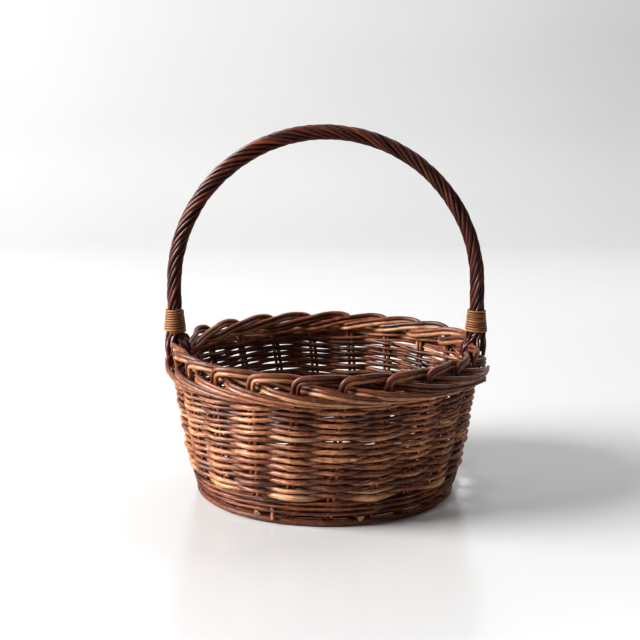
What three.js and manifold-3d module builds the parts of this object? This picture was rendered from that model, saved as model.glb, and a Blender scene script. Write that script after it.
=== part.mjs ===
// A round market basket of unpeeled willow: a stick cross and a woven base, upright stake pairs,
// rows of weaving rods, a rolled border made of the stakes' own ends, and a fixed rope-bound bow handle.
// Millimetres, +Z up. The origin is the middle of the underside, and the handle stands in the X-Z plane.
import * as THREE from "three";
import Module from "manifold-3d";
import { mergeVertices } from "three/addons/utils/BufferGeometryUtils.js";

const wasm = await Module();
wasm.setup();

// Driving dimensions
const clearance = 0.3; // between neighbours that touch in the real basket
const pairCount = 22; // stake pairs, an even number so that rows can alternate
const stakeRadius = 2.3; // one rod of a stake pair
const wallFootRadius = 145.5; // middle of the wall where the stakes turn up
const wallTopRadius = 170.5; // middle of the wall under the border
const wallTop = 140; // height where the border starts
const upsettRowHeight = 7;
const upsettRowCount = 2;
const upsettRodThickness = 5;
const sidingRowCount = 8;
const sidingRodThickness = 4;
const topRowHeight = 5;
const topRodThickness = 4.4;
const footHeight = 5;
const footWidth = 11;
const baseStickRadius = 3.5;
const baseEdgeGap = 11.5; // from the woven base's edge to the middle of the wall
const baseWeaveSeam = 97; // where its inner disc meets its outer round
const stickOverlap = 7; // how far the sticks reach into the outer round
const baseRodThickness = 3;
const slathRadius = 42; // bare middle, where the sticks cross
const stickPitch = 8; // between neighbouring sticks in the cross
const throughStickCount = 5;
const slitWall = 2.5; // wood left above and below the through sticks
const slitShoulder = 3; // whole wood beyond each end of a slit
const bowSetOut = 2; // the bow stands this far outside the middle of the wall's top
const bowLegStraight = 60.4; // straight run above the border, before the arch
const handleTop = 417;
const bowCoreRadius = 3.8;
const bowLegRadius = 2.6; // the bow's slimmed ends, inside the wall
const bowLegFoot = 34; // how far down the wall they reach
const legClearance = 1; // between a leg and the border strokes that pass it
const strandCount = 8;
const strandRadius = 2;
const strandTurns = 3.5;
const strandSteps = 9; // straight runs in one turn
const strandGap = 2; // between the border and the strands
const lappingGap = 7; // bare strand below a lapping
const lappingHeight = 28;
const lappingTopThickness = 2.2;
const lappingFootThickness = 5;
const lappingSides = 12;

// Colours, roughness and metalness of the finishes
const finishes = {
  stake: { color: 0x5a3426, roughness: 0.55 },
  weaver: { color: 0x7d5138, roughness: 0.6 },
  wale: { color: 0x6b4430, roughness: 0.6 },
  base: { color: 0x70503a, roughness: 0.7 },
  bow: { color: 0x4a281e, roughness: 0.5 },
  strand: { color: 0x5e2f22, roughness: 0.45 },
  cane: { color: 0xb98a58, roughness: 0.55 },
};

// Derived places
const turn = 2 * Math.PI;
const pairAngle = turn / pairCount;
const pairHalfWidth = 2 * stakeRadius;
const legOffset = pairHalfWidth + clearance + bowLegRadius; // the bow's leg stands right beside a pair
const firstPairAngle = -Math.asin(legOffset / wallTopRadius);
const widestUpright = Math.max(stakeRadius, bowLegRadius);
const memberHeight = footHeight + clearance + stakeRadius; // middle of the base sticks and stake roots
const baseWeaveRadius = wallFootRadius - baseEdgeGap;
const stickEnd = baseWeaveSeam + stickOverlap;
const baseSwing = baseStickRadius + clearance + baseRodThickness / 2;
const baseHalf = baseSwing + baseRodThickness / 2;
const wallFoot = memberHeight + baseHalf + clearance; // lowest row of the wall
const upsettTop = wallFoot + upsettRowCount * (upsettRowHeight + clearance);
const sidingTop = wallTop - topRowHeight - clearance - stakeRadius;
const sidingRowHeight = (sidingTop - upsettTop) / sidingRowCount - clearance;
const strandReach = (bowCoreRadius + clearance + strandRadius) / Math.cos(Math.PI / strandSteps);
const ropeRadius = strandReach + strandRadius;
const layer = 2 * stakeRadius + clearance; // one thickness of rod in the border
const borderHeight = 5.6 * layer; // up to the middle of its highest run
const strandFoot = wallTop + borderHeight + pairHalfWidth + strandGap;
const lappingFoot = strandFoot + lappingGap;
const bowRadius = wallTopRadius + bowSetOut;
const bowHeight = strandFoot + bowLegStraight;
const archHeight = handleTop - ropeRadius - bowHeight;

function wallRadius(height) {
  const share = (height - memberHeight) / (wallTop - memberHeight);
  return wallFootRadius + share * (wallTopRadius - wallFootRadius);
}

function polar(radius, angle, height) {
  return new THREE.Vector3(radius * Math.cos(angle), radius * Math.sin(angle), height);
}

// A path of straight runs, with one step of a tube to each of its points.
class KnotPath extends THREE.Curve {
  constructor(points) {
    super();
    this.points = points;
  }
  getPoint(t, target = new THREE.Vector3()) {
    const last = this.points.length - 1;
    const place = THREE.MathUtils.clamp(t, 0, 1) * last;
    const i = Math.min(Math.floor(place), last - 1);
    return target.lerpVectors(this.points[i], this.points[i + 1], place - i);
  }
  getUtoTmapping(u) {
    return u;
  }
}

function swept(section, points) {
  const path = new KnotPath(points);
  return new THREE.ExtrudeGeometry(section, { steps: points.length - 1, extrudePath: path });
}

function roundSection(radius, sides) {
  const corners = [];
  for (let i = 0; i < sides; i++) {
    const a = (turn * i) / sides;
    corners.push(new THREE.Vector2(radius * Math.cos(a), radius * Math.sin(a)));
  }
  return new THREE.Shape(corners);
}

// Two rods side by side: x is through the pair, y across it.
function pairSection() {
  const slope = pairHalfWidth - stakeRadius;
  const corners = [
    [0, -pairHalfWidth],
    [stakeRadius, -slope],
    [stakeRadius, slope],
    [0, pairHalfWidth],
    [-stakeRadius, slope],
    [-stakeRadius, -slope],
  ];
  return new THREE.Shape(corners.map(([x, y]) => new THREE.Vector2(x, y)));
}

// A ring with a closed profile of [radius, height] points, given clockwise.
function lathed(profile, segments, startAngle = 0) {
  const points = [...profile, profile[0]].map(([r, z]) => new THREE.Vector2(r, z));
  const ring = new THREE.LatheGeometry(points, segments);
  ring.rotateX(Math.PI / 2);
  return ring.rotateZ(startAngle);
}

// Booleans
function solid(geometry) {
  const bare = geometry.clone();
  bare.deleteAttribute("normal");
  bare.deleteAttribute("uv");
  const merged = mergeVertices(bare, 1e-4);
  const index = merged.index.array;
  return new wasm.Manifold(
    new wasm.Mesh({
      numProp: 3,
      vertProperties: new Float32Array(merged.attributes.position.array),
      triVerts: new Uint32Array(index),
    }),
  );
}

function geometryOf(manifold) {
  const mesh = manifold.getMesh();
  const geometry = new THREE.BufferGeometry();
  geometry.setAttribute("position", new THREE.BufferAttribute(mesh.vertProperties, 3));
  geometry.setIndex(new THREE.BufferAttribute(mesh.triVerts, 1));
  return geometry;
}

function piece(name, geometry, finish) {
  const mesh = new THREE.Mesh(geometry, new THREE.MeshStandardMaterial({ metalness: 0, ...finish }));
  mesh.name = name;
  return mesh;
}

function numbered(name, index) {
  return name + "_" + String(index + 1).padStart(2, "0");
}

// Base: through sticks pass along X through the eyes of the slit sticks, and all ends fan out to
// the stake pairs.
function stickPoints(offset, straight, endAngle) {
  const half = [
    new THREE.Vector3(straight, offset, memberHeight),
    polar(stickEnd, endAngle, memberHeight),
  ];
  const mirrored = half.map((p) => new THREE.Vector3(-p.x, p.y, p.z)).reverse();
  return [...mirrored, ...half];
}

const crossHalf = (throughStickCount * stickPitch) / 2; // half the width of the through sticks
const slitStickCount = pairCount / 2 - throughStickCount;
const slitHalf = (slitStickCount * stickPitch) / 2;

function throughStick(index, radius) {
  const place = index - (throughStickCount - 1) / 2;
  return swept(roundSection(radius, 6), stickPoints(place * stickPitch, slitHalf, place * pairAngle));
}

function slitStick(index, radius) {
  const place = index - (slitStickCount - 1) / 2;
  const eyeLength = 2 * (crossHalf + clearance);
  const points = stickPoints(place * stickPitch, crossHalf + slitShoulder, place * pairAngle);
  const rod = swept(roundSection(radius, 6), points);
  const grown = radius - baseStickRadius;
  const cheek = 2 * (baseStickRadius + clearance + slitWall + grown);
  const width = stickPitch - clearance * 2;
  const body = new THREE.BoxGeometry(eyeLength + 2 * slitShoulder, width, cheek);
  const eye = new THREE.BoxGeometry(eyeLength, stickPitch * 2, 2 * (baseStickRadius + clearance));
  for (const block of [body, eye]) block.translate(0, place * stickPitch, memberHeight);
  return geometryOf(solid(rod).add(solid(body)).subtract(solid(eye))).rotateZ(Math.PI / 2);
}

function baseDisc() {
  const profile = [
    [slathRadius, memberHeight - baseHalf],
    [baseWeaveSeam, memberHeight - baseHalf],
    [baseWeaveSeam, memberHeight + baseHalf],
    [slathRadius, memberHeight + baseHalf],
  ];
  let disc = solid(lathed(profile, pairCount));
  const room = baseStickRadius + clearance;
  for (let i = 0; i < throughStickCount; i++) disc = disc.subtract(solid(throughStick(i, room)));
  for (let i = 0; i < slitStickCount; i++) disc = disc.subtract(solid(slitStick(i, room)));
  return geometryOf(disc);
}

// A closed woven row: it passes on one side of even pairs and on the other side of odd ones.
// reach(sign) gives how far a point moves outwards and upwards there.
function wovenRow(profile, reach) {
  const ring = lathed(profile, 2 * pairCount, pairAngle / 4);
  const flat = 1 / Math.cos(pairAngle / 4);
  const position = ring.attributes.position;
  const p = new THREE.Vector3();
  for (let i = 0; i < position.count; i++) {
    p.fromBufferAttribute(position, i);
    const sign = Math.round(Math.atan2(p.y, p.x) / pairAngle) % 2 === 0 ? 1 : -1;
    const [outwards, upwards] = reach(sign);
    const radius = Math.hypot(p.x, p.y);
    const scale = (flat * (radius + outwards)) / radius;
    position.setXYZ(i, p.x * scale, p.y * scale, p.z + upwards);
  }
  return ring;
}

function wallRow(foot, height, thickness, startsOutside) {
  const low = wallRadius(foot);
  const high = wallRadius(foot + height);
  const half = thickness / 2;
  const swing = (widestUpright + clearance + half) * (startsOutside ? 1 : -1);
  const profile = [
    [low - half, foot],
    [low + half, foot],
    [high + half, foot + height],
    [high - half, foot + height],
  ];
  return wovenRow(profile, (sign) => [sign * swing, 0]);
}

function baseRound() {
  const half = baseRodThickness / 2;
  const inner = baseWeaveSeam + clearance * 2;
  const profile = [
    [inner, memberHeight - half],
    [baseWeaveRadius, memberHeight - half],
    [baseWeaveRadius, memberHeight + half],
    [inner, memberHeight + half],
  ];
  return wovenRow(profile, (sign) => [0, sign * baseSwing]);
}

function footRing() {
  const outer = wallFootRadius + widestUpright + clearance;
  const profile = [
    [outer - footWidth, 0],
    [outer, 0],
    [outer, footHeight],
    [outer - footWidth, footHeight],
  ];
  return lathed(profile, 2 * pairCount);
}

// One stake pair from its root in the base to its tucked-in tip. The border's points are
// [stake spacings travelled, layers outwards, layers up]: up, over to the next pair, behind it,
// out and down in front of the two after that, past the bow's leg, and in again.
const behind = (2 * bowLegRadius + stakeRadius / 2 + legClearance) / layer;
const pastLeg = (legOffset + bowLegRadius) / (wallTopRadius * pairAngle);
const borderPoints = [
  [0, 0.2, 0.9],
  [0.02, 0.65, 3.6],
  [0.11, 0.95, 4.9],
  [0.25, 1.0, 5.45],
  [0.45, 0.75, borderHeight / layer],
  [0.65, 0, 5.5],
  [0.85, 0.55 - behind, 5.2],
  [1.0, 0.1 - behind, 4.95],
  [pastLeg + 0.95, -behind, 4.6],
  [1.32, 0.5 - behind, 4.1],
  [1.46, -0.1, 3.68],
  [1.6, 1.0, 3.35],
  [1.78, 1.95, 3.1],
  [2.0, 2.3, 2.7],
  [2.35, 2.3, 1.95],
  [2.7, 2.0, 1.1],
  [2.95, 1.6, 0.75],
  [pastLeg + 3, 1.2, 0.7],
  [pastLeg + 3.16, 0.2, 0.7],
  [3.7, 0.1 - behind, 0.72],
];

function stakePair() {
  const bend = wallFoot - memberHeight;
  const points = [
    polar(stickEnd + clearance * 2, 0, memberHeight),
    polar(wallFootRadius - bend * 0.8, 0, memberHeight),
    polar(wallFootRadius - bend * 0.15, 0, memberHeight + bend * 0.3),
    polar(wallRadius(wallFoot), 0, wallFoot),
    polar(wallTopRadius, 0, wallTop),
  ];
  for (const [spacings, outwards, upwards] of borderPoints) {
    const radius = wallTopRadius + outwards * layer;
    points.push(polar(radius, spacings * pairAngle, wallTop + upwards * layer));
  }
  return swept(pairSection(), points);
}

// Handle: straight legs and a half ellipse between them, which is round at the usual height.
function bowPoints(foot, steps) {
  const points = [new THREE.Vector3(bowRadius, 0, foot)];
  for (let i = 0; i <= steps; i++) {
    const a = (Math.PI * i) / steps;
    points.push(new THREE.Vector3(bowRadius * Math.cos(a), 0, bowHeight + archHeight * Math.sin(a)));
  }
  points.push(new THREE.Vector3(-bowRadius, 0, foot));
  return points;
}

// The bow and its two slim legs, which follow the wall beside a stake pair.
function handleBow() {
  const foot = strandFoot + clearance;
  const rows = [
    [0, bowLegFoot],
    [0, wallTop],
    [stakeRadius / 2 - bowLegRadius, wallTop + layer * 4],
  ];
  const points = rows.map(([outwards, height]) => {
    const along = wallRadius(Math.min(height, wallTop)) + outwards;
    const place = new THREE.Vector3(along, legOffset, height);
    return place.applyAxisAngle(new THREE.Vector3(0, 0, 1), firstPairAngle);
  });
  points.push(new THREE.Vector3(bowRadius, 0, foot + 2 * bowLegRadius));
  const arch = solid(swept(roundSection(bowCoreRadius, 6), bowPoints(foot, 24)));
  const leg = swept(roundSection(bowLegRadius, 6), points);
  return geometryOf(arch.add(solid(leg)).add(solid(leg.clone().rotateZ(Math.PI))));
}

function strand(index) {
  const archLength = (Math.PI * (bowRadius + archHeight)) / 2;
  const length = 2 * bowLegStraight + archLength;
  const steps = Math.round(strandTurns * strandSteps);
  const points = [];
  for (let i = 0; i <= steps; i++) {
    const along = (length * i) / steps;
    const beyond = along - bowLegStraight;
    const arc = THREE.MathUtils.clamp(beyond / archLength, 0, 1) * Math.PI;
    const below = Math.max(-beyond, beyond - archLength, 0);
    const out = new THREE.Vector2(archHeight * Math.cos(arc), bowRadius * Math.sin(arc)).normalize();
    const twist = turn * (index / strandCount + (strandTurns * i) / steps);
    const reach = strandReach * Math.cos(twist);
    const x = bowRadius * Math.cos(arc) + out.x * reach;
    const z = bowHeight + archHeight * Math.sin(arc) + out.y * reach - below;
    points.push(new THREE.Vector3(x, strandReach * Math.sin(twist), z));
  }
  return swept(roundSection(strandRadius, 5), points);
}

function lapping() {
  const inner = (ropeRadius + clearance) / Math.cos(Math.PI / lappingSides);
  const profile = [
    [inner, lappingFoot],
    [inner + lappingFootThickness, lappingFoot],
    [inner + lappingTopThickness, lappingFoot + lappingHeight],
    [inner, lappingFoot + lappingHeight],
  ];
  return lathed(profile, lappingSides);
}

// Assembly
const basket = new THREE.Group();
const base = new THREE.Group();
const wall = new THREE.Group();
const handle = new THREE.Group();
basket.add(base, wall, handle);
base.rotation.z = firstPairAngle;
wall.rotation.z = firstPairAngle;

for (let i = 0; i < throughStickCount; i++)
  base.add(piece(numbered("through_stick", i), throughStick(i, baseStickRadius), finishes.base));
for (let i = 0; i < slitStickCount; i++)
  base.add(piece(numbered("slit_stick", i), slitStick(i, baseStickRadius), finishes.base));
base.add(piece("base_weave_inner", baseDisc(), finishes.base));
base.add(piece("base_weave_outer", baseRound(), finishes.base));
base.add(piece("foot_ring", footRing(), finishes.wale));

for (let i = 0; i < pairCount; i++) {
  const pair = piece(numbered("stake_pair", i), stakePair(), finishes.stake);
  pair.rotation.z = i * pairAngle;
  wall.add(pair);
}
for (let i = 0; i < upsettRowCount; i++) {
  const foot = wallFoot + i * (upsettRowHeight + clearance);
  const row = wallRow(foot, upsettRowHeight, upsettRodThickness, i % 2 === 0);
  wall.add(piece(numbered("upsett_row", i), row, finishes.wale));
}
for (let i = 0; i < sidingRowCount; i++) {
  const foot = upsettTop + i * (sidingRowHeight + clearance);
  const row = wallRow(foot, sidingRowHeight, sidingRodThickness, (upsettRowCount + i) % 2 === 0);
  wall.add(piece(numbered("siding_row", i), row, finishes.weaver));
}
const lastIsOutside = (upsettRowCount + sidingRowCount) % 2 === 0;
const topRow = wallRow(sidingTop, topRowHeight, topRodThickness, lastIsOutside);
wall.add(piece("top_wale", topRow, finishes.wale));

handle.add(piece("handle_bow", handleBow(), finishes.bow));
for (let i = 0; i < strandCount; i++)
  handle.add(piece(numbered("handle_strand", i), strand(i), finishes.strand));
for (const [name, side] of [["lapping_right", 1], ["lapping_left", -1]]) {
  const ring = piece(name, lapping(), finishes.cane);
  ring.position.x = side * bowRadius;
  handle.add(ring);
}

export default basket;
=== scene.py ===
# A round willow market basket: woven base, stake pairs, rows of weaving, rolled border, roped bow handle.
import math
import random

import bmesh
import bpy
import numpy as np
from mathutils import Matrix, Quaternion, Vector, noise
from mathutils.geometry import interpolate_bezier


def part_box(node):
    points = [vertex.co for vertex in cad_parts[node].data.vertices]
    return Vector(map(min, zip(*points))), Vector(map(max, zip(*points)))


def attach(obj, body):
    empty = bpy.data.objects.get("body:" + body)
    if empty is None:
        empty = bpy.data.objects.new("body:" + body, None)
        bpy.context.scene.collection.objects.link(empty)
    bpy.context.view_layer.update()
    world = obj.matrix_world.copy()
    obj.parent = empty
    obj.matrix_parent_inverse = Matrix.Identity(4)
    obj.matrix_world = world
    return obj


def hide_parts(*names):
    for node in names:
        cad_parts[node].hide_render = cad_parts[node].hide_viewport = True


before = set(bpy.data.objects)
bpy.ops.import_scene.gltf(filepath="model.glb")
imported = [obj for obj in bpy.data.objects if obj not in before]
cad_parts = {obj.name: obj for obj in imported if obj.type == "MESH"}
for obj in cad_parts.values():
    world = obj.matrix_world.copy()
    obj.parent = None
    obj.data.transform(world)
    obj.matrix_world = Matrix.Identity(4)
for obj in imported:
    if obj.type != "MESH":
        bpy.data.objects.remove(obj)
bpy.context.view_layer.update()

# Places that every piece shares, taken from the fixed frame
turn = 2 * math.pi
pairNodes = sorted(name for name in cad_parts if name.startswith("stake_pair"))
pairCount = len(pairNodes)
pairAngle = turn / pairCount
coreRadius = 0.0038
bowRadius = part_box("handle_bow")[1].x - coreRadius
rimRadius = bowRadius - 0.002  # middle of the wall at its top
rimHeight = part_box("top_wale")[1].z + 0.0026  # where the border starts
firstPair = -0.0445  # the pair beside the right end of the bow
memberHeight = sum(corner.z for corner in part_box("through_stick_03")) / 2
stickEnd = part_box("through_stick_03")[1].x
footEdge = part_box("foot_ring")[1].x

wall = {
    "slope": 0.167,  # how far the wall leans out
    "toeIn": 0.006,  # how far it curls in at the foot
    "toeHeight": 0.025,
    "lean": math.radians(-4.5),  # the stakes' feet stand this far round from their tops
    "drift": math.radians(0.7),  # and each one wanders a little
    "stakeRadius": 0.0020,
    "pairHalf": 0.0029,  # from the middle of a pair to each stake
    "bowShare": 0.08,  # a bow leg widens its pair's station by this much of a space
}
drifts = [math.sin(7.3 * i + 2.0) * math.cos(3.1 * i) for i in range(pairCount)]


def ease(x):
    x = min(max(x, 0), 1)
    return x * x * (3 - 2 * x)


def wobble(x, seed):
    return noise.noise(Vector((x, seed * 3.71, seed * 1.37)))


def wallRadius(z):
    curl = wall["toeIn"] * math.exp(-max(z, 0) / wall["toeHeight"])
    return rimRadius - wall["slope"] * (rimHeight - z) - curl


def pairPlace(i, z):
    down = max(0, 1 - z / rimHeight)
    lap, i = divmod(i, pairCount)
    return firstPair + turn * lap + i * pairAngle + down * (wall["lean"] + drifts[i] * wall["drift"])


def station(u, z):  # the angle at u stake spaces round, at a height
    i = math.floor(u)
    ends = []
    for k in (i, i + 1):
        isHandle = k % (pairCount // 2) == 0
        ends.append(pairPlace(k, z) + (wall["bowShare"] * pairAngle if isHandle else 0))
    return ends[0] + (ends[1] - ends[0]) * (u - i)


def polar(radius, angle, z):
    return Vector((radius * math.cos(angle), radius * math.sin(angle), z))


# Rods: every willow piece is a bundle of these

def throughPoints(points, gap=0.0025):  # a smooth run through a few points
    points = [Vector(p) for p in points]
    ends = [2 * points[0] - points[1]] + points + [2 * points[-1] - points[-2]]
    run = [points[0]]
    for a, b, c, d in zip(ends, ends[1:], ends[2:], ends[3:]):
        steps = max(2, round((c - b).length / gap) + 1)
        reach = (c - b).length / 3
        leave = (c - a).normalized() * reach
        arrive = (d - b).normalized() * reach
        run += interpolate_bezier(b, b + leave, c - arrive, c, steps)[1:]
    return run


def softened(points, rounds):  # the ends stay, every kink between them is eased
    for _ in range(rounds):
        inner = [(a + 2 * b + c) / 4 for a, b, c in zip(points, points[1:], points[2:])]
        points = [points[0]] + inner + [points[-1]]
    return points


def sideAxes(points, start, pulls):  # an axis across the run, carried along and pulled downwards
    axes = []
    axis = Vector(start)
    for i, pull in enumerate(pulls):
        along = points[min(i + 1, len(points) - 1)] - points[max(i - 1, 0)]
        along.normalize()
        axis += Vector((0, 0, -pull))
        axis = (axis - along * axis.dot(along)).normalized()
        axes.append(axis.copy())
    return axes


willow = {
    "firstKnot": (0.015, 0.06),
    "knotSpacing": (0.045, 0.095),
    "knotLength": 0.0026,
    "swells": ((0.05, 45), (0.04, 150)),  # how uneven a rod is, and how often to the metre
    "paintedLightHue": 0.12,  # painted light: a rod is painted paler where it stands out of the wall, partly worn bark and partly a painted highlight, and darker where it lies behind, as painted shade
    "paintedLightShade": 0.22,
}


def lengths(points):  # how far along its run each point is
    along = [0.0]
    for a, b in zip(points, points[1:]):
        along.append(along[-1] + (b - a).length)
    return along


def rod(points, butt, tip, hue, shade, seed, knots=0.08, paintedLight=None):
    along = lengths(points)
    total = along[-1]
    dice = random.Random(seed)
    places = []
    place = dice.uniform(*willow["firstKnot"])
    while place < total:
        places.append(place)
        place += dice.uniform(*willow["knotSpacing"])
    radii, knotShares = [], []
    for s in along:
        knot = min(sum(math.exp(-(((s - k) / willow["knotLength"]) ** 2)) for k in places), 1)
        uneven = 1
        for share, often in willow["swells"]:
            uneven += share * wobble(s * often, seed)
        radii.append((butt + (tip - butt) * s / total) * uneven * (1 + knots * knot))
        knotShares.append(knot)
    paintedLight = paintedLight or [0] * len(points)
    return {
        "points": points, "radii": radii, "along": along, "knot": knotShares,
        # painted light: paintedLight is +1 where the rod stands out of the wall (painted highlight: paler
        # hue, brighter shade) and -1 where it lies behind a pair (painted shade: darker)
        "hue": [hue + willow["paintedLightHue"] * c for c in paintedLight],
        "shade": [shade * (1 + willow["paintedLightShade"] * c) for c in paintedLight],
        "start": dice.uniform(0, 9),
    }


def addAttribute(mesh, name, values):
    attribute = mesh.attributes.new(name, "FLOAT_VECTOR", "POINT")
    attribute.data.foreach_set("vector", np.array(values, np.float32).ravel())


def addSpline(curve, points):
    spline = curve.splines.new("POLY")
    spline.points.add(len(points) - 1)
    spline.points.foreach_set("co", [c for p in points for c in (*p, 1)])
    return spline


def meshOf(curve):  # the curve is only a means to its mesh
    source = bpy.data.objects.new(curve.name + "Path", curve)
    mesh = bpy.data.meshes.new_from_object(source)
    mesh.name = curve.name
    bpy.data.objects.remove(source)
    bpy.data.curves.remove(curve)
    return mesh


def placePiece(name, mesh, finishes, stands):
    piece = bpy.data.objects.new(name, mesh)
    bpy.context.scene.collection.objects.link(piece)
    for finish in finishes:
        mesh.materials.append(finish)
    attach(piece, "root")
    if stands:
        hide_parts(*stands)


def makeRods(name, rods, sides, finishes, stands):
    curve = bpy.data.curves.new(name, "CURVE")
    curve.dimensions = "3D"
    curve.twist_mode = "MINIMUM"
    curve.bevel_depth = 1
    curve.bevel_resolution = (sides - 4) // 2
    for piece in rods:
        addSpline(curve, piece["points"]).points.foreach_set("radius", piece["radii"])
    mesh = meshOf(curve)
    ringSize = len(mesh.vertices) // sum(len(piece["points"]) for piece in rods)
    angles = np.arange(ringSize) * turn / ringSize
    grain, tone = [], []
    for piece in rods:
        radii = np.array(piece["radii"])[:, None]
        along = np.array(piece["along"])[:, None] + piece["start"]
        ring = [along + 0 * angles, radii * np.cos(angles), radii * np.sin(angles)]
        grain.append(np.stack(ring, -1).reshape(-1, 3))
        tones = [np.array(piece[key])[:, None] + 0 * angles for key in ("hue", "shade", "knot")]
        tone.append(np.stack(tones, -1).reshape(-1, 3))
    addAttribute(mesh, "grain", np.concatenate(grain))
    addAttribute(mesh, "tone", np.concatenate(tone))

    bm = bmesh.new()
    bm.from_mesh(mesh)
    for face in bm.faces:
        face.smooth = True
    openEdges = [edge for edge in bm.edges if edge.is_boundary]
    caps = bmesh.ops.holes_fill(bm, edges=openEdges, sides=0)["faces"]
    for edge in openEdges:
        edge.smooth = False
    for face in caps:
        face.smooth = False
        face.material_index = 1
    bmesh.ops.recalc_face_normals(bm, faces=bm.faces)
    bm.to_mesh(mesh)
    bm.free()
    placePiece(name, mesh, finishes, stands)


# Materials

class Wire:  # a node's output that takes part in plain arithmetic
    def __init__(self, tree, socket):
        self.tree = tree
        self.socket = socket

    def maths(self, operation, *values):
        return self.tree.node("ShaderNodeMath", {"operation": operation}, *values)

    def __add__(self, other):
        return self.maths("ADD", self, other)

    def __radd__(self, other):
        return self.maths("ADD", other, self)

    def __sub__(self, other):
        return self.maths("SUBTRACT", self, other)

    def __rsub__(self, other):
        return self.maths("SUBTRACT", other, self)

    def __mul__(self, other):
        return self.maths("MULTIPLY", self, other)

    def __rmul__(self, other):
        return self.maths("MULTIPLY", other, self)

    def between(self, low, high):  # 0 below low, 1 above high, smooth in between
        settings = {"interpolation_type": "SMOOTHSTEP"}
        return self.tree.node("ShaderNodeMapRange", settings, self, low, high, 0.0, 1.0)


class Finish:  # one material and its nodes
    def __init__(self, name):
        self.material = bpy.data.materials.new(name)
        self.material.use_nodes = True
        self.nodes = self.material.node_tree.nodes
        self.links = self.material.node_tree.links
        self.shader = self.nodes["Principled BSDF"]

    def node(self, kind, settings, *values, output=0, **named):
        made = self.nodes.new(kind)
        for key, value in settings.items():
            if key == "stops":
                self.setStops(made.color_ramp, value)
            else:
                setattr(made, key, value)
        sockets = [s for s in made.inputs if s.enabled]
        pairs = list(zip(sockets, values)) + [(made.inputs[k], v) for k, v in named.items()]
        for socket, value in pairs:
            self.feed(socket, value)
        outputs = [s for s in made.outputs if s.enabled]
        return Wire(self, outputs[output])

    def setStops(self, ramp, stops):
        for place, colour in stops[2:]:
            ramp.elements.new(place)
        for element, (place, colour) in zip(ramp.elements, stops):
            element.position = place
        for element, (place, colour) in zip(ramp.elements, stops):
            element.color = (*colour, 1)

    def feed(self, socket, value):
        if isinstance(value, Wire):
            self.links.new(value.socket, socket)
        elif value is not None:
            socket.default_value = value

    def speckle(self, place, scale, detail=3.0):
        stretched = self.node("ShaderNodeMapping", {}, place, Scale=scale)
        named = {"Scale": 1.0, "Detail": detail, "Roughness": 0.55}
        return self.node("ShaderNodeTexNoise", {"noise_dimensions": "3D"}, stretched, **named)

    def mixed(self, share, first, second, blend="MIX"):
        settings = {"data_type": "RGBA", "blend_type": blend, "clamp_factor": True}
        return self.node("ShaderNodeMix", settings, share, first, second)


def colour(r, g, b):
    return (r, g, b, 1)


barkStops = [
    (0.0, (0.014, 0.004, 0.003)),
    (0.20, (0.050, 0.012, 0.007)),
    (0.40, (0.125, 0.033, 0.014)),
    (0.58, (0.245, 0.084, 0.036)),
    (0.76, (0.400, 0.205, 0.112)),
    (1.0, (0.570, 0.365, 0.225)),
]


def bark(name, look):
    finish = Finish(name)
    grain = finish.node("ShaderNodeAttribute", {"attribute_name": "grain"}, output=1)
    toneNode = finish.node("ShaderNodeAttribute", {"attribute_name": "tone"}, output=1)
    tone = finish.node("ShaderNodeSeparateXYZ", {}, toneNode)
    hue, shade, knot = [Wire(finish, socket) for socket in tone.socket.node.outputs]
    streak = finish.speckle(grain, (55, 1300, 1300))
    fine = finish.speckle(grain, (260, 2600, 2600), detail=2.0)
    patch = finish.speckle(grain, (120, 420, 420), detail=4.0)
    dots = finish.speckle(grain, (700, 1500, 1500), detail=1.0)
    place = hue + (streak - 0.5) * look["streak"] + (patch - 0.5) * look["patch"]
    place = place + (fine - 0.5) * 0.18 - knot * 0.10
    base = finish.node("ShaderNodeValToRGB", {"stops": barkStops}, place)
    worn = patch.between(0.56, 0.74) * streak.between(0.42, 0.66) * look["wear"]
    base = finish.mixed(worn, base, colour(*look["worn"]))
    scar = knot.between(0.35, 0.8) * 0.28
    base = finish.mixed(scar, base, colour(*look["scar"]))
    speck = dots.between(0.66, 0.74) * 0.4
    base = finish.mixed(speck, base, colour(0.42, 0.28, 0.19))
    # shade here carries the painted highlight and painted shade that rod() gives each point by its side of
    # the pair, as hue does above
    bright = finish.node("ShaderNodeCombineColor", {}, *[shade * part for part in look["tint"]])
    base = finish.mixed(1.0, base, bright, "MULTIPLY")
    finish.feed(finish.shader.inputs["Base Color"], base)
    roughness = look["roughness"] + (streak - 0.5) * 0.25 + worn * 0.2
    finish.feed(finish.shader.inputs["Roughness"], roughness)
    finish.shader.inputs["Specular IOR Level"].default_value = look["sheen"]
    height = streak * 0.6 + fine * 0.3 + dots.between(0.64, 0.76) * 0.5
    bump = finish.node("ShaderNodeBump", {}, Strength=0.55, Distance=0.00035, Height=height)
    finish.feed(finish.shader.inputs["Normal"], bump)
    return finish.material


def cutWood():
    finish = Finish("cutWood")
    grain = finish.node("ShaderNodeAttribute", {"attribute_name": "grain"}, output=1)
    rings = finish.speckle(grain, (10, 1800, 1800))
    pale = finish.mixed(rings, colour(0.56, 0.40, 0.23), colour(0.28, 0.16, 0.09))
    finish.feed(finish.shader.inputs["Base Color"], pale)
    finish.shader.inputs["Roughness"].default_value = 0.75
    return finish.material


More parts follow.
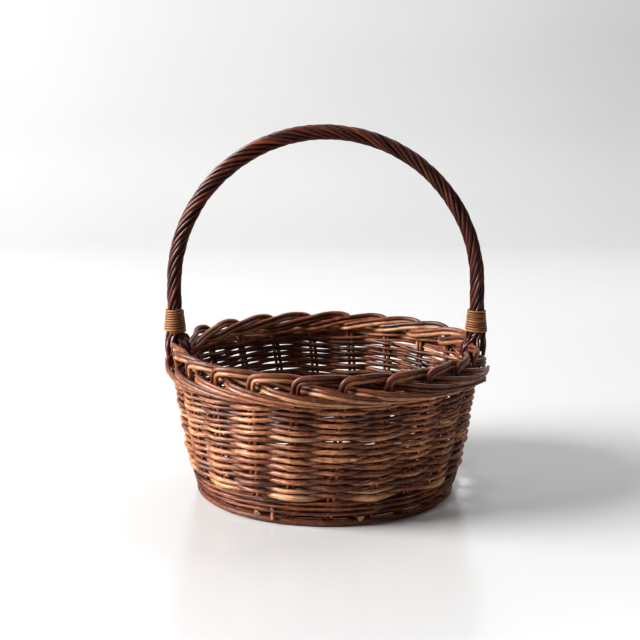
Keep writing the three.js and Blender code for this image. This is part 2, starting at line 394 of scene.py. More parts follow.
def splitCane():
    finish = Finish("splitCane")
    grain = finish.node("ShaderNodeAttribute", {"attribute_name": "grain"}, output=1)
    fibre = finish.speckle(grain, (60, 2200, 2200))
    patch = finish.speckle(grain, (45, 200, 200), detail=2.0)
    base = finish.mixed(fibre, colour(0.22, 0.075, 0.022), colour(0.56, 0.275, 0.10))
    base = finish.mixed(patch.between(0.45, 0.65) * 0.7, base, colour(0.13, 0.05, 0.022))
    finish.feed(finish.shader.inputs["Base Color"], base)
    finish.feed(finish.shader.inputs["Roughness"], 0.38 + fibre * 0.25)
    bump = finish.node("ShaderNodeBump", {}, Strength=0.4, Distance=0.0002, Height=fibre)
    finish.feed(finish.shader.inputs["Normal"], bump)
    return finish.material


# streak and patch: how far the colour wanders along a rod; worn and scar: bare patches and knots
looks = {
    "stake": {
        "streak": 0.60, "patch": 0.70, "wear": 0.5, "roughness": 0.43, "sheen": 0.58,
        "worn": (0.42, 0.27, 0.19), "scar": (0.30, 0.16, 0.09),
        "tint": (1.05, 0.95, 0.84),
    },
    "weaver": {
        "streak": 0.80, "patch": 1.00, "wear": 0.75, "roughness": 0.46, "sheen": 0.60,
        "worn": (0.45, 0.33, 0.25), "scar": (0.34, 0.18, 0.09),
        "tint": (1.02, 0.94, 0.82),
    },
    "wale": {
        "streak": 0.55, "patch": 0.70, "wear": 0.5, "roughness": 0.50, "sheen": 0.42,
        "worn": (0.33, 0.20, 0.14), "scar": (0.28, 0.15, 0.09),
        "tint": (1.0, 0.88, 0.78),
    },
    "base": {
        "streak": 0.40, "patch": 0.45, "wear": 0.7, "roughness": 0.60, "sheen": 0.25,
        "worn": (0.40, 0.27, 0.18), "scar": (0.30, 0.18, 0.11),
        "tint": (1.0, 0.95, 0.92),
    },
    "bow": {
        "streak": 0.30, "patch": 0.35, "wear": 0.3, "roughness": 0.42, "sheen": 0.45,
        "worn": (0.25, 0.11, 0.07), "scar": (0.22, 0.10, 0.06),
        "tint": (1.05, 0.76, 0.74),
    },
    "strand": {
        "streak": 0.45, "patch": 0.50, "wear": 0.2, "roughness": 0.33, "sheen": 0.50,
        "worn": (0.28, 0.11, 0.08), "scar": (0.26, 0.10, 0.06),
        "tint": (1.08, 0.72, 0.72),
    },
}
barks = {slot: bark(slot + "Bark", look) for slot, look in looks.items()}
cut = cutWood()
cane = splitCane()
print("materials made")


# Camera, light and the surface the basket stands on

def addLight(name, place, aim, size, power, tint):
    lamp = bpy.data.lights.new(name, "AREA")
    lamp.shape = "DISK"
    lamp.size = size
    lamp.energy = power
    lamp.color = tint
    holder = bpy.data.objects.new(name, lamp)
    holder.location = place
    holder.rotation_euler = (Vector(aim) - Vector(place)).to_track_quat("-Z", "Y").to_euler()
    bpy.context.scene.collection.objects.link(holder)


view = {"place": (-0.0064, -1.5, 0.493), "tilt": 78.77, "lens": 75.4, "roomLight": 0.15}
lights = {  # place, aim, size, power, tint
    "window": ((-3.4, -0.62, 1.9), (0, 0, 0.12), 2.4, 312, (1.0, 0.985, 0.97)),
    "sideFill": ((0.95, 1.1, 1.7), (0.6, 0.0, 0), 2.0, 19, (1, 1, 1)),
    "backWash": ((0.5, 1.1, 1.9), (0.45, 3.4, 0.9), 1.8, 3.5, (1, 1, 1)),
}


def studio():
    lens = bpy.data.cameras.new("camera")
    lens.lens = view["lens"]
    lens.sensor_width = 36
    camera = bpy.data.objects.new("camera", lens)
    camera.location = view["place"]
    camera.rotation_euler = (math.radians(view["tilt"]), 0, 0)
    bpy.context.scene.collection.objects.link(camera)
    bpy.context.scene.camera = camera
    bpy.context.scene.view_settings.view_transform = "Standard"
    bpy.context.scene.view_settings.look = "Medium High Contrast"

    world = bpy.data.worlds.new("room")
    bpy.context.scene.world = world
    world.use_nodes = True
    world.node_tree.nodes["Background"].inputs[0].default_value = (1.0, 1.0, 1.0, 1)
    world.node_tree.nodes["Background"].inputs[1].default_value = view["roomLight"]
    for name, settings in lights.items():
        addLight(name, *settings)

    finish = Finish("paleLacquer")
    where = finish.node("ShaderNodeTexCoord", {}, output=3)
    cloud = finish.speckle(where, (2, 2, 2))
    tint = finish.mixed(cloud, colour(0.645, 0.65, 0.655), colour(0.68, 0.685, 0.69))
    finish.feed(finish.shader.inputs["Base Color"], tint)
    finish.shader.inputs["Roughness"].default_value = 0.2
    finish.shader.inputs["Specular IOR Level"].default_value = 0.55
    bm = bmesh.new()
    bmesh.ops.create_grid(bm, x_segments=1, y_segments=1, size=3)
    edge = max(bm.edges, key=lambda e: sum(v.co.y for v in e.verts))
    risen = bmesh.ops.extrude_edge_only(bm, edges=[edge])["geom"]
    for vert in (v for v in risen if isinstance(v, bmesh.types.BMVert)):
        vert.co.z += 3.5
    bmesh.ops.bevel(
        bm, geom=[edge], offset=1.0, segments=12, profile=0.5, affect="EDGES", material=-1
    )
    for face in bm.faces:
        face.smooth = True
    mesh = bpy.data.meshes.new("studioFloor")
    bm.to_mesh(mesh)
    bm.free()
    mesh.materials.append(finish.material)
    floor = bpy.data.objects.new("studioFloor", mesh)
    bpy.context.scene.collection.objects.link(floor)


studio()
print("studio set")


# Siding: rows of single rods, each passing in front of one pair and behind the next

siding = {
    "rows": 28,
    "low": 0.0304,
    "high": 0.1395,
    "lowRadius": 0.00278,
    "highRadius": 0.00208,
    "gap": 0.0004,  # between a row and the stakes
    "fullness": 1.22,  # how squarely a rod wraps a pair
    "steps": 16,  # points in one stake space
    "rowSpread": (0.9, 1.1),  # a row against its neighbours
    "buttSpread": (1.04, 1.24),
    "tipSpread": (0.72, 0.92),
    "hue": (0.50, 0.155, 0.26, 0.78),  # mean, spread, lowest and highest
    "shade": (0.75, 1.15),
    "overlap": 0.24,  # stake spaces that a rod's ends run on beside the next rod
    "tuck": 1.9,  # the butt starts this many radii further in
    "tuckSpaces": 0.85,
    "smoothing": 14,  # grid places over which a change of rod is spread
    "ripples": ((0.0011, 2.2), (0.0005, 7)),  # how far a row wanders up and down, and how often
    "tilt": 0.0007,
    "bulge": 0.0005,
    "tipRod": (0.002, 0.0016, 0.78, 1.15),  # radius at both ends, hue and shade of a cut tip
    "tipReach": 0.0058,
    # cut tips that stand out of the wall: bearing in degrees, height, length round the wall in degrees
    "tips": ((-79, 0.078, 6), (-62, 0.093, 5), (-52, 0.055, -4), (-131, 0.047, 4), (48, 0.071, 5),
             (112, 0.04, -5), (-38, 0.104, 4)),
}


def swing(u, fullness):  # straight from pair to pair, flat where it wraps one
    zigzag = 1 - 2 * abs((u + 1) % 2 - 1)
    return min(max(fullness * zigzag, -1), 1)


def rowPlan(row, dice):  # rods of one row: where each starts and ends, in stake spaces
    parity = 1 - row % 2  # the pairs that this row passes inside
    start = parity + 2 * dice.randrange(pairCount // 2)
    shares = dice.choice([(12, 10), (10, 12), (14, 8), (8, 14), (22,)])
    mean = siding["lowRadius"] + (siding["highRadius"] - siding["lowRadius"]) * row / siding["rows"]
    mean *= dice.uniform(*siding["rowSpread"])
    rods = []
    for spaces in shares:
        butt = mean * dice.uniform(*siding["buttSpread"])
        tip = mean * dice.uniform(*siding["tipSpread"])
        rods.append({"from": start, "to": start + spaces, "butt": butt, "tip": tip})
        start += spaces
    return rods


def rowThickness(rods):  # the row's radius at each grid place round the basket
    count = pairCount * siding["steps"]
    radii = np.zeros(count)
    for piece in rods:
        first = piece["from"] * siding["steps"]
        last = piece["to"] * siding["steps"]
        for k in range(first, last):
            share = (k - first) / (last - first)
            radii[k % count] = piece["butt"] + (piece["tip"] - piece["butt"]) * share
    reach = siding["smoothing"]
    wrapped = np.concatenate([radii[-reach:], radii, radii[:reach]])
    kernel = np.hanning(2 * reach + 1)
    return np.convolve(wrapped, kernel / kernel.sum(), "valid")


def makeSiding():
    dice = random.Random(11)
    plans = [rowPlan(row, dice) for row in range(siding["rows"])]
    thickness = [rowThickness(plan) for plan in plans]
    heights = [thickness[0]]
    for below, above in zip(thickness, thickness[1:]):
        heights.append(heights[-1] + below + above)
    top = (heights[-1] + thickness[-1]).mean()
    scale = (siding["high"] - siding["low"]) / top
    print("siding rows are packed by", round(scale, 3))
    count = pairCount * siding["steps"]
    made = {}
    overlap = siding["overlap"]
    hueMean, hueSpread, hueLeast, hueMost = siding["hue"]
    for row, plan in enumerate(plans):
        sign = 1 if row % 2 == 0 else -1
        tilt = dice.uniform(0, turn)
        made[row] = []
        for n, piece in enumerate(plan):
            hue = min(hueMost, max(hueLeast, dice.gauss(hueMean, hueSpread)))
            shade = dice.uniform(*siding["shade"])
            seed = 100 + row * 7 + n
            points, paintedLight = [], []
            total = piece["to"] - piece["from"]
            steps = round((total + 2 * overlap) * siding["steps"])
            for k in range(steps + 1):
                u = piece["from"] - overlap + k / siding["steps"]
                grid = u * siding["steps"]
                low = math.floor(grid)
                share = grid - low
                z = heights[row][low % count] * (1 - share) + heights[row][(low + 1) % count] * share
                z = siding["low"] + z * scale
                side = sign * swing(u, siding["fullness"])
                radius = thickness[row][round(grid) % count]
                hold = wall["stakeRadius"] + radius + siding["gap"]
                angle = station(u, z)
                near = Vector((math.cos(angle), math.sin(angle), row * 0.7)) * 3.1
                z += sum(height * noise.noise(near * often) for height, often in siding["ripples"])
                z += siding["tilt"] * math.sin(angle + tilt)
                out = wallRadius(z) + side * hold
                out += siding["bulge"] * noise.noise(near + Vector((5, 0, 0)))
                entered = ease((u - piece["from"] + overlap) / siding["tuckSpaces"])
                out -= radius * siding["tuck"] * (1 - entered)
                points.append(polar(out, angle, z))
                # the side of the pair also sets the rod's painted highlight (outside) and painted shade
                # (behind)
                paintedLight.append(side)
            run = softened(points, 4)
            made[row].append(rod(run, piece["butt"], piece["tip"], hue, shade, seed, paintedLight=paintedLight))
    for n, (bearing, z, length) in enumerate(siding["tips"]):
        row = min(siding["rows"] - 1, round((z - siding["low"]) / (top * scale) * siding["rows"]))
        points = []
        for share in (0, 0.35, 0.7, 1):
            angle = math.radians(bearing - length * (1 - share))
            out = wallRadius(z) + 0.001 + siding["tipReach"] * share ** 1.5
            points.append(polar(out, angle, z + 0.0016 * share))
        made[row].append(rod(throughPoints(points), *siding["tipRod"], 90 + n, knots=0))
    nodes = sorted(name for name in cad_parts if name.startswith("siding_row"))
    for row, rods in made.items():
        stands = [n for k, n in enumerate(nodes) if round(k * siding["rows"] / len(nodes)) == row]
        makeRods(f"sidingRow{row + 1:02d}", rods, 10, [barks["weaver"], cut], stands)


makeSiding()
print("siding woven")


# Wales: three rods that pass in front of two pairs and behind one, turn by turn

upsett = {"low": 0.0133, "rounds": 3, "radius": 0.00158, "swell": 1.14, "slim": 0.84, "hue": 0.42}
topWale = {"low": 0.1385, "rounds": 2, "radius": 0.0017, "swell": 1.1, "slim": 0.85, "hue": 0.55}
waling = {
    "steps": 16,  # points in one stake space
    "overlap": 0.35,  # stake spaces that a rod's ends run on beside the next rod
    "rodSpaces": 21,  # each rod goes on for this many stake spaces
    "stepUp": 0.2,  # the share of a round in which it climbs to the next
    "squareness": 1.5,
}


def waleSaw(p):  # height within one stroke, in rod thicknesses, and which side it is on
    p = p % 3
    if p < 2:
        return p - 1, math.sin(math.pi * p / 2)
    return 1 - 2 * (p - 2), -math.sin(math.pi * (p - 2))


def waleRods(spec, seed):
    dice = random.Random(seed)
    thick = 2 * spec["radius"]
    overlap, steps, square = waling["overlap"], waling["steps"], waling["squareness"]
    rods = []
    for strand in range(3):
        start = strand - 0.5 + 3 * dice.randrange(7)
        for n in range(spec["rounds"]):
            first = start + waling["rodSpaces"] * n
            last = first + waling["rodSpaces"]
            if n == spec["rounds"] - 1:
                last += 1
            points = []
            for k in range(round((last - first + 2 * overlap) * steps) + 1):
                u = first - overlap + k / steps
                lap = (u - start) / pairCount
                climb = ease((lap - math.floor(lap) - (1 - waling["stepUp"])) / waling["stepUp"])
                step = min(max(math.floor(lap) + climb, 0), spec["rounds"] - 1)
                saw, side = waleSaw(u + 0.5 - strand)
                z = spec["low"] + thick * (2 * step + 0.5 + 0.48 * saw)
                hold = wall["stakeRadius"] + spec["radius"] + 0.0003
                hold += 0.0006 * ease((z - rimHeight) / 0.005)
                hold *= math.tanh(square * side) / math.tanh(square)
                angle = station(u, z)
                z += 0.0005 * wobble(u * 0.9, seed + strand)
                out = wallRadius(z) + hold + 0.0004 * wobble(u, seed - strand)
                points.append(polar(out, angle, z))
            hue = min(1, max(0, dice.gauss(spec["hue"], 0.13)))
            butt, tip = spec["radius"] * spec["swell"], spec["radius"] * spec["slim"]
            shade = dice.uniform(0.72, 1.1)
            rods.append(rod(softened(points, 4), butt, tip, hue, shade, seed * 31 + strand * 5 + n))
    return rods


upsettNodes = sorted(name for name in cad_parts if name.startswith("upsett_row"))
for n, piece in enumerate(waleRods(upsett, 21)):
    stands = upsettNodes[n:n + 1]
    makeRods(f"upsettRod{n + 1}", [piece], 10, [barks["wale"], cut], stands)
for n, piece in enumerate(waleRods(topWale, 22)):
    stands = ["top_wale"] if n == 0 else []
    makeRods(f"topWaleRod{n + 1}", [piece], 8, [barks["wale"], cut], stands)
print("wales woven")


# Stake pairs: up from the base, over behind the next pair, out, and down in front of the ones beyond.
# The border's run is [spaces travelled, layers outwards, layers upwards].

border = {
    "layer": 0.0049,
    "rodRadius": 0.00262,
    "slimmed": 0.62,  # how much of that is left at the tips
    "hues": ((0.42, 0.08), (0.66, 0.10)),  # mean and spread: the two rods of a pair differ
    "waver": (0.15, 0.2),  # layers, outwards and upwards
    "flickOut": 1.8,
    "run": [
        (0, 0.1, 0.9), (0.01, 0.35, 3.4), (0.07, 0.6, 4.75), (0.2, 0.75, 5.3), (0.45, 0.6, 5.5),
        (0.7, -0.2, 5.4), (1.0, -1.3, 5.05), (1.4, -1.65, 4.3), (1.75, -1.75, 3.55), (2.08, -1.5, 3.0),
        (2.26, -0.6, 2.9), (2.42, 0.7, 2.9), (2.6, 1.75, 2.75), (3.0, 2.35, 2.1), (3.5, 2.3, 1.35),
        (4.0, 2.05, 0.8), (4.5, 1.75, 0.4), (5.0, 1.45, 0.15),
    ],
    "flick": (16, 17, 18),  # pairs whose cut tips stand out beside the handle
}
roots = {"start": 0.108, "risers": (0.016, 0.03, 0.05, 0.08, 0.11)}  # pushed in beside the sticks


def borderSize(share):  # a stake's radius in the border, this far along the whole stake
    tail = ease((share - 0.6) / 0.4)
    return border["rodRadius"] * (1 - (1 - border["slimmed"]) * tail)


def makeStakePairs():
    dice = random.Random(31)
    for i, node in enumerate(pairNodes):
        footAngle = pairPlace(i, 0)
        bendRadius = wallRadius(0.01)
        points = [
            polar(roots["start"], firstPair + i * pairAngle, memberHeight),
            polar(bendRadius - 0.016, footAngle, memberHeight),
            polar(bendRadius - 0.003, footAngle, memberHeight + 0.0012),
        ]
        for z in roots["risers"] + (rimHeight,):
            points.append(polar(wallRadius(z), pairPlace(i, z), z))
        sink = dice.uniform(-0.25, 0.25)
        stretch = dice.uniform(-0.05, 0.05)
        topAngle = pairPlace(i, rimHeight)
        for spaces, outwards, upwards in border["run"]:
            hump = math.sin(math.pi * min(spaces / 5, 1))
            if spaces > 4 and i in border["flick"]:
                outwards += (spaces - 4) * border["flickOut"]
            outwards += border["waver"][0] * wobble(spaces * 2 + i * 9, 5)
            upwards += sink * hump + border["waver"][1] * wobble(spaces * 1.7, i + 40)
            radius = rimRadius + outwards * border["layer"]
            angle = topAngle + (spaces + stretch * hump) * pairAngle
            points.append(polar(radius, angle, rimHeight + upwards * border["layer"]))
        middle = throughPoints(points)
        count = len(middle)
        inBorder = [1 if k > count / 2 else ease((p.z - 0.1) / 0.045) for k, p in enumerate(middle)]
        side = Vector((-math.sin(footAngle), math.cos(footAngle), 0))
        pulls = [0.12 if p.z > rimHeight + 0.02 or k > count / 2 else 0 for k, p in enumerate(middle)]
        axes = sideAxes(middle, side, pulls)
        sizes = [borderSize(k / count) for k in range(count)]
        rods = []
        for n, sign in enumerate((-1, 1)):
            seed = 300 + i * 2 + n
            run = []
            for k, (p, axis, share) in enumerate(zip(middle, axes, inBorder)):
                half = wall["pairHalf"] + (sizes[k] * 0.98 - wall["pairHalf"]) * share
                half += 0.0003 * wobble(k * 0.05, seed)
                run.append(p + axis * half * sign)
            hue = min(1, max(0, dice.gauss(*border["hues"][n])))
            made = rod(run, 1, 1, hue, dice.uniform(0.8, 1.15), seed, knots=0.06)
            for k, share in enumerate(inBorder):
                made["radii"][k] *= wall["stakeRadius"] + (sizes[k] - wall["stakeRadius"]) * share
            rods.append(made)
        makeRods(f"stakePair{i + 1:02d}", rods, 10, [barks["stake"], cut], [node])


makeStakePairs()
print("stakes set up and the border turned down")


# Base: through sticks in the eyes of slit sticks, then pairing out to the wall

base = {
    "stickRadius": 0.0034,
    "stickTip": 0.0026,
    "rootRadius": 0.0021,  # what the weaving goes round beyond the sticks
    "cheekRadius": 0.0022,
    "cheekLift": 0.0049,  # from the middle of a slit stick to each cheek, where the slit is open
    "cheekRest": 0.0012,  # and where it closes again
    "pitch": 0.008,  # from stick to stick in the cross
    "through": 5,
    "weaverRadius": 0.0015,
    "inner": 0.0445,  # where the weaving starts and ends
    "outer": 0.1335,
    "roundPitch": 0.00318,
}


def stickRun(place, straight):
    angle = place * pairAngle
    offset = place * base["pitch"]
    bent = polar(stickEnd + 0.001, angle, 0)
    half = [
        Vector((straight * 0.5, offset, 0)), Vector((straight, offset, 0)),
        Vector((straight, offset, 0)).lerp(bent, 0.5), bent,
    ]
    back = [Vector((-p.x, p.y, 0)) for p in reversed(half)]
    return [p + Vector((0, 0, memberHeight)) for p in back + half]


def turned(points, angle):
    spin = Quaternion((0, 0, 1), angle)
    return [spin @ p for p in points]


def spindle(made, butt):  # thickest in the middle, slimmer at both ends
    total = made["along"][-1]
    for k, s in enumerate(made["along"]):
        share = abs(2 * s / total - 1)
        made["radii"][k] *= 1 - (1 - base["stickTip"] / butt) * share
    return made


def makeSticks():
    dice = random.Random(41)
    slits = pairCount // 2 - base["through"]
    throughHalf = base["through"] * base["pitch"] / 2
    for i in range(base["through"]):
        place = i - (base["through"] - 1) / 2
        run = turned(throughPoints(stickRun(place, slits * base["pitch"] / 2)), firstPair)
        thick, hue, shade = base["stickRadius"], dice.gauss(0.5, 0.1), dice.uniform(0.8, 1)
        made = spindle(rod(run, thick, thick, hue, shade, 400 + i, knots=0.05), thick)
        node = f"through_stick_{i + 1:02d}"
        makeRods(f"throughStick{i + 1}", [made], 12, [barks["base"], cut], [node])
    for i in range(slits):
        place = i - (slits - 1) / 2
        run = turned(throughPoints(stickRun(place, throughHalf + 0.003)), firstPair + math.pi / 2)
        rods = []
        shade, hue = dice.uniform(0.8, 1), dice.gauss(0.5, 0.1)
        length = throughHalf + 0.006
        across = polar(1, firstPair + math.pi / 2, 0)
        rest, lift = base["cheekRest"], base["cheekLift"]
        for sign in (-1, 1):  # the cheeks above and below the slit
            cheek = []
            for p in run:
                beyond = abs(p.dot(across)) - length
                if beyond < 0.004:
                    gape = 1 - ease((beyond + 0.005) / 0.008)
                    cheek.append(p + Vector((0, 0, sign * (rest + (lift - rest) * gape))))
            thick = base["cheekRadius"]
            rods.append(rod(cheek, thick, thick, hue, shade, 420 + i * 3 + sign, knots=0.03))
        for sign in (-1, 1):
            arm = [p for p in run if sign * p.dot(across) > length - 0.003]
            arm = arm if sign > 0 else arm[::-1]
            butt, tip = base["stickRadius"], base["stickTip"]
            rods.append(rod(arm, butt, tip, hue, shade, 440 + i * 3 + sign, knots=0.05))
        node = f"slit_stick_{i + 1:02d}"
        makeRods(f"slitStick{i + 1}", rods, 12, [barks["base"], cut], [node])


def memberRadius(radius):
    if radius < stickEnd:
        share = (radius - base["inner"]) / (stickEnd - base["inner"])
        return base["stickRadius"] + (base["stickTip"] - base["stickRadius"]) * share
    return base["rootRadius"]


def memberAngle(u, radius):  # beyond the sticks the weaving follows the stakes' feet
    leaning = ease((radius - stickEnd) / (wallRadius(0.01) - stickEnd))
    i = math.floor(u) % pairCount
    return firstPair + u * pairAngle + leaning * (pairPlace(i, 0) - firstPair - i * pairAngle)


def makeBaseWeave():
    dice = random.Random(51)
    rounds = round((base["outer"] - base["inner"]) / base["roundPitch"])
    perSpace = 10
    thick = base["weaverRadius"]
    rods = []
    pieceSpaces = 3 * pairCount // 2
    total = rounds * pairCount
    for strand, sign in enumerate((1, -1)):
        u = 0
        while u < total:
            length = min(total - u, dice.randrange(pieceSpaces // 2, pieceSpaces) // 2 * 2 + 8)
            points = []
            for k in range(round((length + 0.6) * perSpace) + 1):
                v = u - 0.3 + k / perSpace
                radius = base["inner"] + base["roundPitch"] * v / pairCount
                z = sign * (memberRadius(radius) + thick + 0.0002) * swing(v, 1.2)
                twist = sign * math.sin(math.pi * v) * thick * 0.95
                angle = memberAngle(v, radius)
                out = radius + twist + 0.0002 * wobble(v, strand + 3)
                points.append(polar(out, angle, memberHeight + z))
            hue = min(1, max(0, dice.gauss(0.52, 0.17)))
            shade = dice.uniform(0.75, 1.1)
            run = softened(points, 1)
            made = rod(run, thick * 1.08, thick * 0.88, hue, shade, 500 + len(rods), knots=0.06)
            rods.append((u, made))
            u += length
    seam = (stickEnd - base["inner"]) / (base["outer"] - base["inner"]) * total
    inner = [made for start, made in rods if start < seam]
    outer = [made for start, made in rods if start >= seam]
    makeRods("baseWeaveInner", inner, 6, [barks["base"], cut], ["base_weave_inner"])
    makeRods("baseWeaveOuter", outer, 6, [barks["base"], cut], ["base_weave_outer"])


binding = {"half": 0.0345, "step": 0.0026, "beside": 0.0015, "turns": 2, "radius": 0.0014}


def makeBinding():  # tie the cross together before its arms are opened out
    rods = []
    for strand in (0, 1):
        points = []
        corners = 4 * binding["turns"]
        for k in range(corners * 12 + 1):
            quarter = k / 12
            angle = quarter * math.pi / 2
            squareness = max(abs(math.cos(angle)), abs(math.sin(angle))) ** 0.8
            size = binding["half"] + binding["step"] * quarter / 4 + binding["beside"] * strand
            side = math.cos(math.pi * quarter) * (1 if strand == 0 else -1)
            lift = base["stickRadius"] + binding["radius"] + 0.0003
            z = memberHeight + lift * math.tanh(2.2 * side) / math.tanh(2.2)
            points.append(polar(size / squareness, firstPair + angle, z))
        butt, tip = binding["radius"], binding["radius"] * 0.9
        rods.append(rod(softened(points, 2), butt, tip, 0.55, 0.95, 560 + strand))
    makeRods("crossBinding", rods, 8, [barks["base"], cut], [])


makeSticks()
makeBaseWeave()
makeBinding()
print("base woven")


# Foot: the thick rods that the basket stands on, twisted loosely round the stakes' bends

foot = {
    "radius": 0.0031,
    "lift": 0.0005,
    "rise": 0.0011,  # how far one ring climbs over the other
    "rings": ((0.0026, 0, (12, 10)), (0.0088, 1, (9, 13))),  # in from the edge, number, rods in spaces
    "perSpace": 12,
    "overlap": 0.2,
    # cut ends that show above it: [bearing, [radius, height] inside, [radius, height] outside, size, hue]
    "stubs": (
        (-119.5, (0.134, 0.0115), (0.1496, 0.0088), 0.0034, 0.85),
        (-112.0, (0.136, 0.0200), (0.1502, 0.0058), 0.0026, 0.66),
        (-75.5, (0.134, 0.0110), (0.1502, 0.0090), 0.0037, 0.50),
        (-26.0, (0.136, 0.0110), (0.1490, 0.0088), 0.0030, 0.55),
        (64.0, (0.134, 0.0110), (0.1492, 0.0086), 0.0032, 0.45),
        (158.0, (0.136, 0.0115), (0.1490, 0.0090), 0.0030, 0.60),
    ),
}


def makeFoot():
    dice = random.Random(61)
    rods = []
    thick, overlap = foot["radius"], foot["overlap"]
    for inset, ring, spans in foot["rings"]:
        first = 5 * ring
        for n, length in enumerate(spans):
            points = []
            for k in range(round((length + 2 * overlap) * foot["perSpace"]) + 1):
                u = first - overlap + k / foot["perSpace"]
                weave = math.cos(math.pi * (u * 2 / 3 + ring) + 0.8 * wobble(u * 0.4, ring + 3))
                inward = 0.003 * (1 - ease((u - first + overlap) / 0.9))
                radius = footEdge - inset + 0.0009 * weave + 0.0012 * wobble(u * 0.6, ring + 9) - inward
                z = thick + foot["lift"] + foot["rise"] * (1 + weave) / 2
                points.append(polar(radius, station(u, 0), z))
            hue, shade = dice.gauss(0.45, 0.1), dice.uniform(0.75, 1.0)
            run = softened(points, 2)
            rods.append(rod(run, thick * 1.05, thick * 0.86, hue, shade, 600 + ring * 5 + n))
            first += length
    for n, (bearing, inside, outside, size, hue) in enumerate(foot["stubs"]):
        angle = math.radians(bearing)
        points = [
            polar(inside[0], angle - 0.06, inside[1]),
            polar((inside[0] + outside[0]) / 2 + 0.002, angle - 0.02, inside[1]),
            polar(outside[0], angle, outside[1]),
        ]
        rods.append(rod(throughPoints(points), size, size, hue, 0.95, 640 + n, knots=0))
    makeRods("footRing", rods, 12, [barks["wale"], cut], ["foot_ring"])


makeFoot()
print("foot laid")


# Handle: a bow whose slimmed legs run down inside the wall, nine strands round it, cane lappings

handle = {
    "strands": 9,
    "strandRadius": 0.00208,
    "reach": 0.0063,  # from the bow's middle to a strand's
    "pitch": 0.112,  # rise in one turn of a strand
    "straight": 0.0604,  # from the strands' feet to where the arch starts
    "flare": 0.0030,  # how far the strands spread under the lapping
    "shoulder": (0.16, 0.64, 0.11),  # the rope is this much thicker, this far along, over this length
    "legRadius": 0.0024,
    "legFoot": 0.036,
    "legGap": 0.0075,  # a leg stands this far beside its pair
}
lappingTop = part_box("lapping_right")[1].z
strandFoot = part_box("handle_strand_01")[0].z
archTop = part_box("handle_bow")[1].z - coreRadius
springHeight = strandFoot + handle["straight"]


def bowRun(gap=0.0025):  # middle of the handle, from the right foot over to the left foot
    rise = archTop - springHeight
    points = [Vector((bowRadius, 0, strandFoot)), Vector((bowRadius, 0, (strandFoot + springHeight) / 2))]
    for k in range(25):
        a = math.pi * k / 24
        points.append(Vector((bowRadius * math.cos(a), 0, springHeight + rise * math.sin(a))))
    points += [Vector((-p.x, 0, p.z)) for p in reversed(points[:2])]
    return throughPoints(points, gap)


def makeBow():
    arch = bowRun()
    leg = []
    for z in (handle["legFoot"], 0.06, 0.09, 0.12, rimHeight):
        out = wallRadius(z)
        angle = pairPlace(0, z) + handle["legGap"] / out
        leg.append(polar(out, angle, z))
    leg.append(Vector((rimRadius - 0.0015, 0.0005, rimHeight + 0.016)))
    leg.append(Vector((bowRadius - 0.001, 0, strandFoot - 0.004)))
    left = turned(leg, math.pi)
    run = throughPoints(leg + arch[2:-2:8] + left[::-1])  # every eighth point, and none beside a leg's end
    made = rod(run, 1, 1, 0.22, 0.9, 700, knots=0.04)
    for k, p in enumerate(run):
        share = ease((p.z - strandFoot + 0.008) / 0.02)
        made["radii"][k] *= handle["legRadius"] + (coreRadius - handle["legRadius"]) * share
    makeRods("handleBow", [made], 12, [barks["bow"], cut], ["handle_bow"])


# Where each strand's end goes: [outwards, round the rim, height] from the bow's foot. Three of them
# run down over the inside of the border to the weaving.
strandEnds = [
    ((0.0075, -0.009, -0.017),), ((0.0085, 0.001, -0.020),), ((0.007, 0.010, -0.017),),
    ((0.001, 0.0165, -0.013),), ((-0.0145, 0.0085, -0.013), (-0.0085, 0.010, -0.041)),
    ((-0.0155, 0.001, -0.015), (-0.0090, 0.002, -0.046)),
    ((-0.0150, -0.0075, -0.013), (-0.0085, -0.009, -0.042)),
    ((0.001, -0.016, -0.015),), ((0.0055, -0.0135, -0.018),),
]


def makeStrands():
    arch = bowRun(0.002)
    dice = random.Random(71)
    along = lengths(arch)
    total = along[-1]
    turns = round(total / handle["pitch"]) + 1 / handle["strands"]
    nodes = sorted(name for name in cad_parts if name.startswith("handle_strand"))
    extra, middle, length = handle["shoulder"]
    for n in range(handle["strands"]):
        seed = 710 + n
        run = []
        for k in range(0, len(arch), 2):
            p = arch[k]
            ahead = arch[min(k + 1, len(arch) - 1)] - arch[max(k - 1, 0)]
            outwards = Vector((ahead.z, 0, -ahead.x)).normalized()
            if outwards.dot(p - Vector((0, 0, springHeight))) < 0:
                outwards = -outwards
            share = along[k] / total
            twist = turn * (n / handle["strands"] + turns * share) + 0.30 * wobble(share * 11, seed)
            flare = ease((lappingTop - p.z) / (lappingTop - strandFoot))
            lump = 1 + 0.06 * wobble(share * 18, seed + 50) + 0.07 * wobble(share * 9, 70)
            lump += extra * math.exp(-(((share - middle) / length) ** 2))
            reach = handle["reach"] * lump + handle["flare"] * flare
            sideways = Vector((0, 1, 0))
            run.append(p + reach * (outwards * math.cos(twist) + sideways * math.sin(twist)))
        for end, side in ((0, 1), (-1, -1)):
            tail = run[end]
            centre = Vector((side * bowRadius, 0, strandFoot))
            bearing = math.atan2(tail.y * side, (tail.x - centre.x) * side)
            away = [abs(math.remainder(math.atan2(e[0][1], e[0][0]) - bearing, turn)) for e in strandEnds]
            nearest = strandEnds[away.index(min(away))]
            places = [centre + Vector((side * x, side * y, z)) for x, y, z in nearest]
            bulge = 0.12 * (places[0] - centre)
            places.insert(0, tail.lerp(places[0], 0.5) + Vector((bulge.x, bulge.y, 0)))
            run = places[::-1] + run if end == 0 else run + places
        hue = min(0.50, max(0.24, dice.gauss(0.37, 0.07)))
        butt, tip = handle["strandRadius"] * 1.1, handle["strandRadius"] * 0.88
        if n % 2:
            butt, tip = tip, butt
        made = rod(throughPoints(run, 0.003), butt, tip, hue, dice.uniform(0.4, 0.8), seed)
        makeRods(f"handleStrand{n + 1}", [made], 10, [barks["strand"], cut], nodes[n:n + 1])


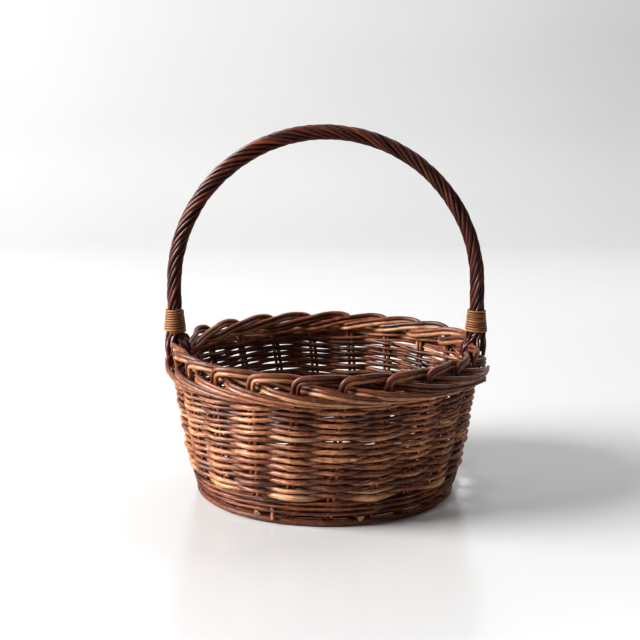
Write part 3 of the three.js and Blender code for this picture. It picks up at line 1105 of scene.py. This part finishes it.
lapping = {
    "turns": 9.3,
    "steps": 28,  # points in one turn
    "thickness": 0.00095,
    "width": 0.0024,
    "topReach": 0.0098,
    "footReach": 0.0119,
    "slant": {1: 0.11, -1: 0},  # the right one was wound a little askew
    "start": {1: 1.2, -1: -2.1},
}


def makeLapping(name, side, node):
    low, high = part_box(node)[0].z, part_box(node)[1].z
    centre = Vector((side * bowRadius, 0, 0))
    turns, steps = lapping["turns"], lapping["steps"]
    points = []
    for k in range(round(turns * steps) + 1):
        share = k / (turns * steps)
        z = low + lapping["width"] / 2 + (high - low - lapping["width"]) * share
        reach = lapping["footReach"] + (lapping["topReach"] - lapping["footReach"]) * ease(share) ** 0.8
        reach += 0.0003 * wobble(k * 0.09, side + 80)
        reach -= 0.0022 * (1 - ease(min(share, 1 - share) * turns * 4))  # both ends are tucked in
        angle = turn * k / steps + lapping["start"][side]
        z += 0.0004 * wobble(k * 0.06, side + 90) - lapping["slant"][side] * reach * math.cos(angle)
        points.append(centre + polar(reach, angle, z))

    curve = bpy.data.curves.new(name, "CURVE")
    curve.dimensions = "3D"
    curve.twist_mode = "Z_UP"
    curve.bevel_depth = lapping["thickness"]
    curve.bevel_resolution = 1
    curve.extrude = lapping["width"] / 2 - lapping["thickness"]
    curve.use_fill_caps = True
    addSpline(curve, points)
    mesh = meshOf(curve)
    middle = sum(points, Vector()) / len(points)
    rise = (points[-1].z - points[0].z) / turns
    grain = []
    for vert in mesh.vertices:
        angle = math.atan2(vert.co.y - middle.y, vert.co.x - middle.x)
        lap = round((vert.co.z - points[0].z) / rise - angle / turn)
        out = math.hypot(vert.co.x - middle.x, vert.co.y)
        grain.append(((angle / turn + lap) * turn * 0.011, vert.co.z, out))
    addAttribute(mesh, "grain", grain)
    bm = bmesh.new()
    bm.from_mesh(mesh)
    bmesh.ops.remove_doubles(bm, verts=bm.verts, dist=0.000002)
    bmesh.ops.recalc_face_normals(bm, faces=bm.faces)
    for face in bm.faces:
        face.smooth = True
    bm.to_mesh(mesh)
    bm.free()
    placePiece(name, mesh, [cane], [node])


makeBow()
makeStrands()
makeLapping("lappingRight", 1, "lapping_right")
makeLapping("lappingLeft", -1, "lapping_left")
print("handle roped and lapped")
